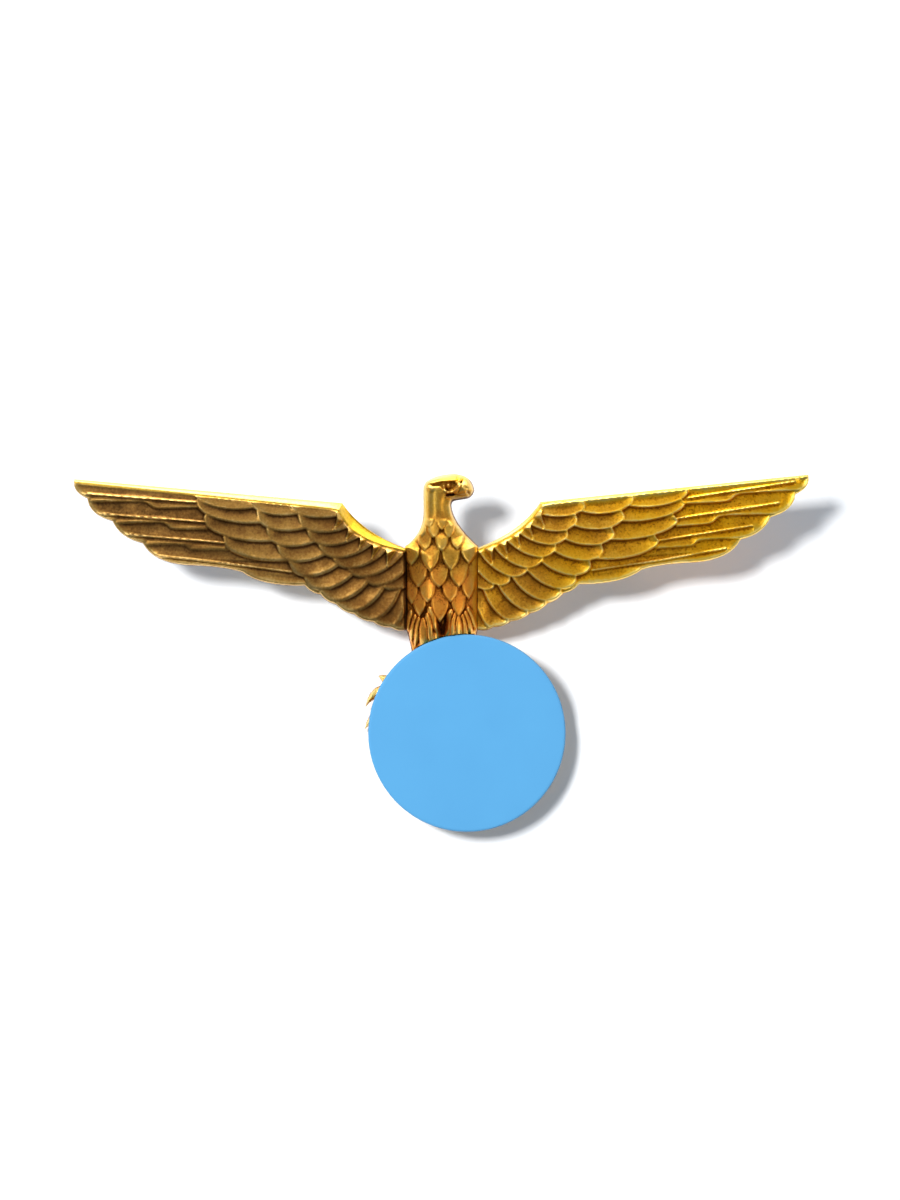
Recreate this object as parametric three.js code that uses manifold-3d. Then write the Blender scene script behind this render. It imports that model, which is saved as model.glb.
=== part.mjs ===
// Cap badge: a spread eagle that holds a plain enamelled roundel, with two screw posts behind the wings.
//
// Millimetres, +Z up. X runs across the wings and the front faces -Y.
// The origin is on the centre line, on the rear face of the small tablet, which lies on the cap.
//
// The eagle is made of five pieces of brass: a body, two wings and two talons. The wings and the body are
// riveted to a curved strap, and the tail and the talons to the roundel. The strap carries two screw posts,
// each with a washer and a knurled nut, and they clamp the badge to the cap.

import * as THREE from "three";
import { mergeVertices } from "three/addons/utils/BufferGeometryUtils.js";
import Module from "manifold-3d";

const wasm = await Module();
wasm.setup();

// ---- Driving dimensions -------------------------------------------------------------------------

const BACK = -0.5; // the castings' rear plane; rivet heads, post bases and the tablet reach back to y = 0
const WALL = 0.75; // metal left in front of the hollow backs
const GAP = 0.03; // clearance between pieces that are soldered or riveted face to face
const DEEP = 20; // longer than any piece, for cutting tools

// Heights of the relief above the rear plane, and the width over which it rises from the edge to its crest.
const WING = { edge: 0.6, crest: 1.9, slope: 1.2, gridStep: 1.1 };
const BODY = { edge: 0.9, flank: 1.8, neck: 2.8, breast: 3.3, slope: 1.9, gridStep: 0.62 };
const LEG_HEIGHT = 1.5; // the legs, talons and tail, which lie behind the roundel

const ROUNDEL = { x: 2.15, z: -13.65, radius: 8.79, plate: 0.8, enamel: 0.6, seat: 0.16 };
const ROUNDEL_REAR = BACK - LEG_HEIGHT - 0.12;

const STRAP = { bendRadius: 35.7, width: 4, thickness: 0.8, endX: 17.2 };
const POST = { x: 15.5, radius: 1.25, baseRadius: 2.0, baseEdge: 0.3, pitch: 0.45, turns: 12 };
const WASHER = { radius: 3.5, bore: 1.45, thickness: 0.4 };
const NUT = { radius: 3.0, hub: 1.95, flange: 1.4, thickness: 2.2, bore: 1.36 };
const RIVET = { shank: 0.45, hole: 0.53, head: 0.85, intoCasting: 0.35 };
const STRAP_RIVETS = { wing: [6.2, 10.8], body: [2.6] }; // distances from the centre line
const TABLET = { width: 3.3, height: 2.2, corner: 0.4 };

// ---- Solids -------------------------------------------------------------------------------------

/** A closed three.js geometry as a solid whose faces point out. */
function solidOf(geometry) {
  const plain = geometry.clone();
  plain.deleteAttribute("normal");
  plain.deleteAttribute("uv");
  const merged = mergeVertices(plain, 1e-4);
  const make = (faces) =>
    new wasm.Manifold(
      new wasm.Mesh({
        numProp: 3,
        vertProperties: new Float32Array(merged.attributes.position.array),
        triVerts: new Uint32Array(faces.flat()),
      }),
    );
  const index = merged.index.array;
  const faces = [];
  for (let i = 0; i < index.length; i += 3) {
    const [a, b, c] = [index[i], index[i + 1], index[i + 2]];
    if (a !== b && b !== c && a !== c) faces.push([a, b, c]);
  }
  const solid = make(faces);
  return solid.volume() > 0 ? solid : make(faces.map(([a, b, c]) => [a, c, b]));
}

/** A solid as a three.js geometry with flat-shaded faces. */
function geometryOf(solid) {
  const mesh = solid.getMesh();
  const geometry = new THREE.BufferGeometry();
  geometry.setAttribute("position", new THREE.BufferAttribute(new Float32Array(mesh.vertProperties), 3));
  geometry.setIndex(new THREE.BufferAttribute(new Uint32Array(mesh.triVerts), 1));
  const faceted = geometry.toNonIndexed();
  faceted.computeVertexNormals();
  return faceted;
}

/** A shape drawn in X and Z, swept from y = front back to y = rear. */
function prism(shape, front, rear, curveSegments = 8) {
  const depth = rear - front;
  const swept = new THREE.ExtrudeGeometry(shape, { depth, bevelEnabled: false, curveSegments });
  return solidOf(swept.rotateX(Math.PI / 2).translate(0, rear, 0));
}

/** A round pin or cutter along Y. */
function pin(x, z, radius, front, rear, sides = 12) {
  const cylinder = new THREE.CylinderGeometry(radius, radius, rear - front, sides);
  return solidOf(cylinder.translate(x, (front + rear) / 2, z));
}

/** A turned piece: a profile of [radius, y] pairs revolved about an axis along Y through (x, z). */
function turned(x, z, profile, sides) {
  const points = profile.map(([radius, y]) => new THREE.Vector2(radius, y));
  return solidOf(new THREE.LatheGeometry(points, sides).translate(x, 0, z));
}

/** A block over a grid in X and Z whose front face stands heightAt(x, z) in front of the castings' backs. */
function reliefBlock(box, step, rear, heightAt) {
  const columns = Math.ceil((box.x1 - box.x0) / step);
  const rows = Math.ceil((box.z1 - box.z0) / step);
  const positions = [];
  const index = [];
  for (const side of ["front", "rear"])
    for (let j = 0; j <= rows; j++)
      for (let i = 0; i <= columns; i++) {
        const x = box.x0 + ((box.x1 - box.x0) * i) / columns;
        const z = box.z0 + ((box.z1 - box.z0) * j) / rows;
        positions.push(x, side === "front" ? BACK - heightAt(x, z) : rear, z);
      }
  const at = (i, j, layer) => layer * (rows + 1) * (columns + 1) + j * (columns + 1) + i;
  const quad = (a, b, c, d) => index.push(a, b, c, a, c, d);
  for (let j = 0; j < rows; j++)
    for (let i = 0; i < columns; i++) {
      quad(at(i, j, 0), at(i + 1, j, 0), at(i + 1, j + 1, 0), at(i, j + 1, 0));
      quad(at(i, j + 1, 1), at(i + 1, j + 1, 1), at(i + 1, j, 1), at(i, j, 1));
    }
  for (let i = 0; i < columns; i++) {
    quad(at(i, 0, 1), at(i + 1, 0, 1), at(i + 1, 0, 0), at(i, 0, 0));
    quad(at(i, rows, 0), at(i + 1, rows, 0), at(i + 1, rows, 1), at(i, rows, 1));
  }
  for (let j = 0; j < rows; j++) {
    quad(at(0, j, 0), at(0, j + 1, 0), at(0, j + 1, 1), at(0, j, 1));
    quad(at(columns, j, 1), at(columns, j + 1, 1), at(columns, j + 1, 0), at(columns, j, 0));
  }
  const block = new THREE.BufferGeometry();
  block.setAttribute("position", new THREE.Float32BufferAttribute(positions, 3));
  block.setIndex(index);
  return solidOf(block);
}

/** How far (x, z) is inside an outline; negative outside it. */
function depthInside(outline, x, z) {
  let nearest = Infinity;
  let inside = false;
  outline.forEach((a, i) => {
    const b = outline[(i + 1) % outline.length];
    const [ex, ez] = [b.x - a.x, b.y - a.y];
    const along = THREE.MathUtils.clamp(((x - a.x) * ex + (z - a.y) * ez) / (ex * ex + ez * ez || 1), 0, 1);
    nearest = Math.min(nearest, Math.hypot(x - a.x - along * ex, z - a.y - along * ez));
    if (a.y > z !== b.y > z && x < a.x + ((z - a.y) / (b.y - a.y)) * ex) inside = !inside;
  });
  return inside ? nearest : -nearest;
}

/** A struck casting: an outline with a relief front and a hollow back, solid where the strap is let in. */
function struckCasting(shape, box, step, heightAt, hollowAt = (x, z) => heightAt(x, z) - WALL) {
  const front = reliefBlock(box, step, BACK, heightAt).intersect(prism(shape, -DEEP, DEEP));
  const hollow = reliefBlock(box, step, BACK + 1, hollowAt);
  const seatDepth = STRAP.thickness + GAP;
  const pad = prism(strapShape(STRAP.width + 1.2), -DEEP, BACK - seatDepth);
  const seat = prism(strapShape(STRAP.width + 2 * GAP), BACK - seatDepth, DEEP);
  return front.subtract(hollow.subtract(pad)).subtract(seat);
}

// ---- Outlines -----------------------------------------------------------------------------------

/** The right wing: up its root and inner slope, out along the leading edge, back past the feather tips. */
function wingShape() {
  const shape = new THREE.Shape();
  shape.moveTo(3.26, -4.5);
  shape.lineTo(3.31, 2.9);
  shape.quadraticCurveTo(7.2, 4.35, 8.9, 6.95);
  shape.lineTo(32.9, 9.25);
  const primaries = [
    { bulge: [33.2, 8.1], notch: [31.75, 7.5] },
    { bulge: [31.6, 6.0], notch: [29.5, 5.45] },
    { bulge: [28.9, 3.95], notch: [26.8, 3.45] },
    { bulge: [25.9, 1.7], notch: [22.8, 1.45] },
    { bulge: [19.6, 1.35], notch: [17.9, 0.8] },
    { bulge: [16.2, -0.5], notch: [12.3, -0.45] },
  ];
  for (const { bulge, notch } of primaries) shape.quadraticCurveTo(...bulge, ...notch);
  const secondaries = [[10.9, -1.25], [9.5, -2.15], [7.9, -3.05], [6.2, -3.75], [4.6, -4.25], [3.26, -4.5]];
  const bulgeOut = 0.3;
  let [x, z] = primaries.at(-1).notch;
  for (const [nextX, nextZ] of secondaries) {
    const scale = bulgeOut / Math.hypot(nextX - x, nextZ - z);
    const bulgeX = (x + nextX) / 2 - (nextZ - z) * scale;
    const bulgeZ = (z + nextZ) / 2 + (nextX - x) * scale;
    shape.quadraticCurveTo(bulgeX, bulgeZ, nextX, nextZ);
    [x, z] = [nextX, nextZ];
  }
  return shape;
}

/** Head, neck, torso, legs and tail, starting where the right thigh leaves the wing. */
function bodyShape() {
  const shape = new THREE.Shape();
  shape.moveTo(3.2, -4.5);
  shape.lineTo(3.25, 3.05);
  shape.quadraticCurveTo(1.0, 5.13, 0.9, 6.65); // neck, under the beak
  shape.quadraticCurveTo(0.88, 7.08, 1.3, 7.14);
  shape.lineTo(2.1, 7.27);
  shape.quadraticCurveTo(2.8, 7.35, 2.96, 8.03); // hook of the beak
  shape.quadraticCurveTo(2.75, 9.5, 0.95, 9.5);
  shape.quadraticCurveTo(-0.2, 9.42, -0.9, 9.08); // crown
  shape.quadraticCurveTo(-1.6, 8.8, -1.61, 8.1);
  shape.lineTo(-1.61, 6.0);
  shape.quadraticCurveTo(-1.67, 4.18, -3.25, 3.05); // nape
  shape.lineTo(-3.2, -4.5);
  shape.quadraticCurveTo(-2.95, -5.2, -2.75, -6.3); // left thigh
  shape.quadraticCurveTo(-2.9, -7.6, -4.2, -8.3);
  shape.lineTo(-3.3, -8.9);
  shape.quadraticCurveTo(-2.2, -8.4, -1.7, -7.4);
  shape.lineTo(-2.5, -12.2); // tail
  shape.quadraticCurveTo(0, -13.6, 2.5, -12.2);
  shape.lineTo(1.7, -7.4);
  shape.quadraticCurveTo(2.2, -8.4, 3.3, -8.9); // right leg
  shape.lineTo(4.2, -8.3);
  shape.quadraticCurveTo(2.9, -7.6, 2.75, -6.3);
  shape.quadraticCurveTo(2.95, -5.2, 3.2, -4.5);
  return shape;
}

/** Height of the strap's centre line at a distance x from the badge's centre line. */
const strapZ = (x) => STRAP.bendRadius - Math.sqrt(STRAP.bendRadius ** 2 - x ** 2);

/** The strap: part of a flat ring, with round ends. */
function strapShape(width) {
  const half = Math.asin(STRAP.endX / STRAP.bendRadius);
  const [left, right] = [-Math.PI / 2 - half, -Math.PI / 2 + half];
  const shape = new THREE.Shape();
  shape.absarc(0, STRAP.bendRadius, STRAP.bendRadius + width / 2, left, right, false);
  shape.absarc(STRAP.endX, strapZ(STRAP.endX), width / 2, right, right + Math.PI, false);
  shape.absarc(0, STRAP.bendRadius, STRAP.bendRadius - width / 2, right, left, true);
  shape.absarc(-STRAP.endX, strapZ(STRAP.endX), width / 2, left + Math.PI, left + 2 * Math.PI, false);
  return shape;
}

/** One toe with its claw: broad at the knuckle, bent to one side and pointed at the tip. */
function toeShape(knuckle, bend, tip, halfWidth) {
  const across = new THREE.Vector2(tip[1] - knuckle[1], knuckle[0] - tip[0]).setLength(halfWidth);
  const beside = (point, side) => [point[0] + side * across.x, point[1] + side * across.y];
  const shape = new THREE.Shape();
  shape.moveTo(...beside(knuckle, 1));
  shape.quadraticCurveTo(...beside(bend, 1), ...tip);
  shape.quadraticCurveTo(...beside(bend, -1), ...beside(knuckle, -1));
  return shape;
}

// ---- Castings -----------------------------------------------------------------------------------

function makeWing() {
  const { smoothstep, lerp } = THREE.MathUtils;
  const shape = wingShape();
  const rootX = 3.4; // nearer the centre line than this the wing meets the body, and has no free edge
  const outline = shape.getPoints(6).map(({ x, y }) => ({ x: x < rootX ? 0 : x, y }));
  const box = { x0: 3, x1: 33.5, z0: -5, z1: 9.8 };
  const height = (x, z) => {
    const rounding = smoothstep(depthInside(outline, x, z), 0, WING.slope);
    return lerp(WING.edge, WING.crest, rounding);
  };
  const casting = struckCasting(shape, box, WING.gridStep, height);
  return rivetHoles(casting, STRAP_RIVETS.wing);
}

function makeBody() {
  const shape = bodyShape();
  const outline = shape.getPoints(6);
  const box = { x0: -4.6, x1: 4.6, z0: -13.2, z1: 9.8 };
  const { smoothstep, lerp } = THREE.MathUtils;
  const height = (x, z) => {
    const besideWing = smoothstep(z, -5.4, -4.4) * smoothstep(-z, -3.6, -2.6);
    const edge = lerp(BODY.edge, BODY.flank, besideWing);
    const torso = lerp(BODY.neck, BODY.breast, smoothstep(-z, -7, 2));
    const crest = lerp(torso, LEG_HEIGHT, smoothstep(-z, 4.2, 6.5));
    return lerp(edge, crest, smoothstep(depthInside(outline, x, z), 0, BODY.slope));
  };
  const recess = { radius: ROUNDEL.radius + ROUNDEL.seat, rear: ROUNDEL_REAR + 0.09 };
  const behindRecess = recess.radius + BODY.gridStep + WALL / 2; // the hollow stays shallow this far out
  const hollow = (x, z) => {
    const fromCentre = Math.hypot(x - ROUNDEL.x, z - ROUNDEL.z);
    return (fromCentre < behindRecess ? Math.min(height(x, z), LEG_HEIGHT) : height(x, z)) - WALL;
  };
  const casting = struckCasting(shape, box, BODY.gridStep, height, hollow);
  const roundelRecess = pin(ROUNDEL.x, ROUNDEL.z, recess.radius, -DEEP, recess.rear, 72);
  const tailHole = pin(0, TAIL_RIVET_Z, RIVET.hole, -DEEP, DEEP);
  const both = STRAP_RIVETS.body.flatMap((x) => [x, -x]);
  return rivetHoles(casting, both).subtract(roundelRecess).subtract(tailHole);
}

/** Blind holes for the strap's rivets. */
function rivetHoles(casting, distances) {
  const bottom = BACK - STRAP.thickness - RIVET.intoCasting - GAP;
  return distances.reduce(
    (cut, x) => cut.subtract(pin(x, strapZ(Math.abs(x)), RIVET.hole, bottom, DEEP)),
    casting,
  );
}

const TALON = { x: 3.95, z: -9.95, knuckle: 1.0 };
const TAIL_RIVET_Z = -11.2;

/** The right foot: three toes that close round the roundel's rim. */
function makeTalon() {
  const front = BACK - LEG_HEIGHT;
  const at = [TALON.x, TALON.z];
  const toes = [
    toeShape(at, [5.2, -8.6], [5.75, -8.55], 0.55),
    toeShape(at, [6.3, -9.5], [6.95, -11.4], 0.62),
    toeShape([TALON.x, TALON.z - 0.3], [6.1, -11.6], [7.05, -13.4], 0.6),
  ];
  const knuckle = pin(...at, TALON.knuckle, front, BACK, 20);
  const foot = toes.reduce((solid, toe) => solid.add(prism(toe, front + 0.15, BACK, 6)), knuckle);
  return foot.subtract(pin(...at, RIVET.hole, -DEEP, DEEP));
}

// ---- Roundel ------------------------------------------------------------------------------------

const ROUNDEL_RIVETS = [
  { name: "rivet_talon_left", x: -TALON.x, z: TALON.z },
  { name: "rivet_talon_right", x: TALON.x, z: TALON.z },
  { name: "rivet_tail", x: 0, z: TAIL_RIVET_Z },
];

function makeRoundelPlate() {
  const { x, z, radius, plate } = ROUNDEL;
  const rear = ROUNDEL_REAR;
  const rim = radius - 0.12;
  const edge = [[rim - 0.25, rear], [rim, rear - 0.2], [rim, rear - plate]];
  const disc = turned(x, z, [[0, rear], ...edge, [0, rear - plate]], 72);
  return ROUNDEL_RIVETS.reduce(
    (cut, rivet) => cut.subtract(pin(rivet.x, rivet.z, RIVET.hole, -DEEP, DEEP)),
    disc,
  );
}

function makeRoundelEnamel() {
  const { x, z, radius, plate, enamel } = ROUNDEL;
  const rear = ROUNDEL_REAR - plate - GAP;
  const front = rear - enamel;
  const rearEdge = [[radius - 0.1, rear], [radius, rear - 0.1]];
  const frontEdge = [[radius, front + 0.25], [radius - 0.25, front + 0.06]];
  return turned(x, z, [[0, rear], ...rearEdge, ...frontEdge, [0, front]], 72);
}

// ---- Fastenings ---------------------------------------------------------------------------------

function makeStrap() {
  const strap = prism(strapShape(STRAP.width), BACK - STRAP.thickness, BACK, 20);
  const holes = [...STRAP_RIVETS.wing, ...STRAP_RIVETS.body].flatMap((x) => [x, -x]);
  return holes.reduce((cut, x) => cut.subtract(pin(x, strapZ(Math.abs(x)), RIVET.hole, -DEEP, DEEP)), strap);
}

/** A round-headed rivet whose shank runs from y = front back to the castings' rear plane. */
function makeRivet(x, z, front) {
  const neck = BACK + GAP;
  const dome = [[RIVET.head, neck], [RIVET.head, -0.34], [0.72, -0.12], [0.45, 0], [0, 0]];
  return turned(x, z, [[0, front], [RIVET.shank, front], [RIVET.shank, neck], ...dome], 12);
}

function makeTablet() {
  const { width, height, corner } = TABLET;
  const [w, h] = [width / 2, height / 2];
  const shape = new THREE.Shape();
  shape.absarc(w - corner, h - corner, corner, 0, Math.PI / 2, false);
  shape.absarc(corner - w, h - corner, corner, Math.PI / 2, Math.PI, false);
  shape.absarc(corner - w, corner - h, corner, Math.PI, 1.5 * Math.PI, false);
  shape.absarc(w - corner, corner - h, corner, 1.5 * Math.PI, 2 * Math.PI, false);
  return prism(shape, BACK + GAP, 0, 3);
}

const WASHER_FRONT = GAP;
const NUT_FRONT = WASHER_FRONT + WASHER.thickness + GAP;
const POST_END = NUT_FRONT + POST.pitch * POST.turns; // the nut's full count of turns takes it off the post

/** A threaded stud on a round soldered base. */
function makePost() {
  const { radius, baseRadius, baseEdge } = POST;
  const foot = BACK + GAP;
  const tip = 0.3;
  const base = [[0, foot], [baseRadius, foot], [baseRadius, foot + baseEdge], [baseRadius - 0.3, 0]];
  const stud = [[radius, 0], [radius, POST_END - tip], [radius - tip, POST_END], [0, POST_END]];
  return turned(POST.x, strapZ(POST.x), [...base, ...stud], 24);
}

function makeWasher() {
  const rear = WASHER_FRONT + WASHER.thickness;
  const { bore, radius } = WASHER;
  const start = [bore, WASHER_FRONT];
  const ring = [start, [radius, WASHER_FRONT], [radius, rear], [bore, rear], start];
  return turned(POST.x, strapZ(POST.x), ring, 32);
}

/** A round nut with a knurled flange and a narrower hub. */
function makeNut() {
  const { radius, hub, flange, thickness, bore } = NUT;
  const [front, step, rear] = [NUT_FRONT, NUT_FRONT + flange, NUT_FRONT + thickness];
  const start = [bore, front];
  const profile = [start, [radius, front], [radius, step], [hub, step], [hub, rear], [bore, rear], start];
  return turned(POST.x, strapZ(POST.x), profile, 32);
}

// ---- Assembly -----------------------------------------------------------------------------------

const ANTIQUE_BRASS = new THREE.MeshStandardMaterial({ color: 0x9a7030, roughness: 0.42, metalness: 1 });
const FITTING_BRASS = new THREE.MeshStandardMaterial({ color: 0xb08d4c, roughness: 0.35, metalness: 1 });
const BLUE_ENAMEL = new THREE.MeshStandardMaterial({ color: 0x66b8f2, roughness: 0.2, metalness: 0 });

const badge = new THREE.Group();

function addPiece(name, solid, material, mirrored = false) {
  const piece = new THREE.Mesh(geometryOf(solid), material);
  piece.name = name;
  if (mirrored) piece.scale.x = -1;
  badge.add(piece);
}

/** The same piece on both sides of the centre line. */
function addPair(name, solid, material, suffix = "") {
  addPiece(`${name}_right${suffix}`, solid, material);
  addPiece(`${name}_left${suffix}`, solid, material, true);
}

addPiece("body", makeBody(), ANTIQUE_BRASS);
addPair("wing", makeWing(), ANTIQUE_BRASS);
addPair("talon", makeTalon(), ANTIQUE_BRASS);
addPiece("roundel_plate", makeRoundelPlate(), ANTIQUE_BRASS);
addPiece("roundel_enamel", makeRoundelEnamel(), BLUE_ENAMEL);
addPiece("back_strap", makeStrap(), FITTING_BRASS);
addPiece("back_tablet", makeTablet(), FITTING_BRASS);
addPair("post", makePost(), FITTING_BRASS);
addPair("washer", makeWasher(), FITTING_BRASS);
addPair("nut", makeNut(), FITTING_BRASS);

const strapRivetFront = BACK - STRAP.thickness - RIVET.intoCasting;
const addStrapRivets = (x, suffix) =>
  addPair("rivet", makeRivet(x, strapZ(x), strapRivetFront), FITTING_BRASS, suffix);
STRAP_RIVETS.body.forEach((x) => addStrapRivets(x, "_body"));
STRAP_RIVETS.wing.forEach((x, i) => addStrapRivets(x, `_wing_${i + 1}`));

const roundelRivetFront = ROUNDEL_REAR - ROUNDEL.plate + GAP;
for (const { name, x, z } of ROUNDEL_RIVETS) {
  addPiece(name, makeRivet(x, z, roundelRivetFront), FITTING_BRASS);
}

export default badge;
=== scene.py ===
"""A spread-eagle cap badge in antique brass, with a plain enamelled roundel and a screw-post fastening.

The castings are sculpted as height fields over the outlines of the CAD nodes: feathers and scales are laid
over one another like shingles, smoothed, rubbed along their edges, given painted highlights and painted
shade, and closed with a hollow back. Working sizes are in millimetres in the badge's own frame (X across the
wings,
-Y to the front, +Z up), and become metres in the mesh.
"""

import math

import bmesh
import bpy
import numpy as np
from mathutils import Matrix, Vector
from mathutils.bvhtree import BVHTree


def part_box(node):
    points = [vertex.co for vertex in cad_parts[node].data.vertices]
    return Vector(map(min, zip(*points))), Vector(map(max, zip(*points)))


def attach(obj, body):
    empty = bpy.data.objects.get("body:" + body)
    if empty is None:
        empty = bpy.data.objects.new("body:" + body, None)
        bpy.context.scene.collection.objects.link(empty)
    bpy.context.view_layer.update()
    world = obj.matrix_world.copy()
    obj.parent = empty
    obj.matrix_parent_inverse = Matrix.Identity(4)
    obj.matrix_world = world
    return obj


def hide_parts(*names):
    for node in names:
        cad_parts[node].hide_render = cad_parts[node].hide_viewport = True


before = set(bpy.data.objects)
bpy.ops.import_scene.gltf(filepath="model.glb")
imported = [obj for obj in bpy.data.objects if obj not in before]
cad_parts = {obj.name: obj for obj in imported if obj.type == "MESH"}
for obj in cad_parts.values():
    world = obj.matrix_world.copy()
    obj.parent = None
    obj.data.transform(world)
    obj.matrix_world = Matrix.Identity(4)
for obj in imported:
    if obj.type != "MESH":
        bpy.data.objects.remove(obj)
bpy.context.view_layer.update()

MM = 0.001
ROOT = "badge"


def box_mm(node):
    low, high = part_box(node)
    return np.array(low) / MM, np.array(high) / MM


def centre_mm(node):
    low, high = box_mm(node)
    return (low + high) / 2


REAR = box_mm("wing_right")[1][1]  # the castings' rear plane
WING_ROOT = box_mm("wing_right")[0][0] + 0.03  # where the wings start, on average
JOINT_GAP = 0.06  # between the body's flank and a wing's root
NEAR_JOINT = 0.06  # what lies this close to a joint belongs to its wall
JOINT_TOP = 2.4  # where the left wing's joint starts to show as a groove
SEAT_GAP = 0.03  # between parts that are soldered or riveted together
ENAMEL_LOW, ENAMEL_HIGH = box_mm("roundel_enamel")
ROUNDEL_X, _, ROUNDEL_Z = centre_mm("roundel_enamel")
ROUNDEL_RADIUS = (ENAMEL_HIGH[0] - ENAMEL_LOW[0]) / 2
ROUNDEL_REAR = box_mm("roundel_plate")[1][1]


# ---- Height fields ---------------------------------------------------------

def smoothstep(value, start, end):
    t = np.clip((value - start) / (end - start), 0, 1)
    return t * t * (3 - 2 * t)


def quarter_round(depth, radius):
    """0 at an edge, rising like a quarter circle to 1 at the given depth inside it."""
    t = np.clip(depth / radius, 0, 1)
    return np.sqrt(1 - (1 - t) ** 2)


def curve(points, count):
    """count evenly spaced points on a smooth curve through the given ones."""
    p = np.array(points, float)
    p = np.vstack([2 * p[0] - p[1], p, 2 * p[-1] - p[-2]])
    t = np.linspace(0, 1, 16, endpoint=False)[:, None]
    dense = [
        0.5 * (2 * b + (c - a) * t + (2 * a - 5 * b + 4 * c - d) * t**2 + (3 * b - a - 3 * c + d) * t**3)
        for a, b, c, d in zip(p, p[1:], p[2:], p[3:])
    ]
    dense = np.vstack(dense + [p[-2]])
    along = np.append(0, np.cumsum(np.hypot(*np.diff(dense, axis=0).T)))
    wanted = np.linspace(0, along[-1], count)
    return np.column_stack([np.interp(wanted, along, dense[:, k]) for k in (0, 1)])


def distance(x, z, starts, ends):
    """How far each grid point is from the nearest of the segments."""
    best = np.full(x.shape, np.inf)
    for (ax, az), (bx, bz) in zip(starts, ends):
        ex, ez = bx - ax, bz - az
        t = np.clip(((x - ax) * ex + (z - az) * ez) / (ex * ex + ez * ez + 1e-12), 0, 1)
        best = np.minimum(best, (x - ax - t * ex) ** 2 + (z - az - t * ez) ** 2)
    return np.sqrt(best)


def from_line(x, z, line):
    """How far each grid point is from a line through the given points."""
    return distance(x, z, line[:-1], line[1:])


def from_outline(x, z, polygon):
    """How far each grid point is from the outline of a polygon."""
    return distance(x, z, polygon, np.roll(polygon, -1, axis=0))


def inside_polygon(x, z, polygon):
    """Which grid points are inside, by counting the sides to the right of each."""
    inside = np.zeros(x.shape, bool)
    for (ax, az), (bx, bz) in zip(polygon, np.roll(polygon, -1, axis=0)):
        if az != bz:
            inside ^= ((az > z) != (bz > z)) & (x < (bx - ax) * (z - az) / (bz - az) + ax)
    return inside


def blurred(field, sigma):
    """Gaussian blur, with sigma in cells."""
    reach = int(3 * sigma) + 1
    weights = np.exp(-0.5 * (np.arange(-reach, reach + 1) / sigma) ** 2)
    weights /= weights.sum()
    for _ in range(2):
        padded = np.pad(field, ((reach, reach), (0, 0)), mode="edge")
        field = sum(w * padded[i : i + field.shape[0]] for i, w in enumerate(weights)).T
    return field


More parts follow.
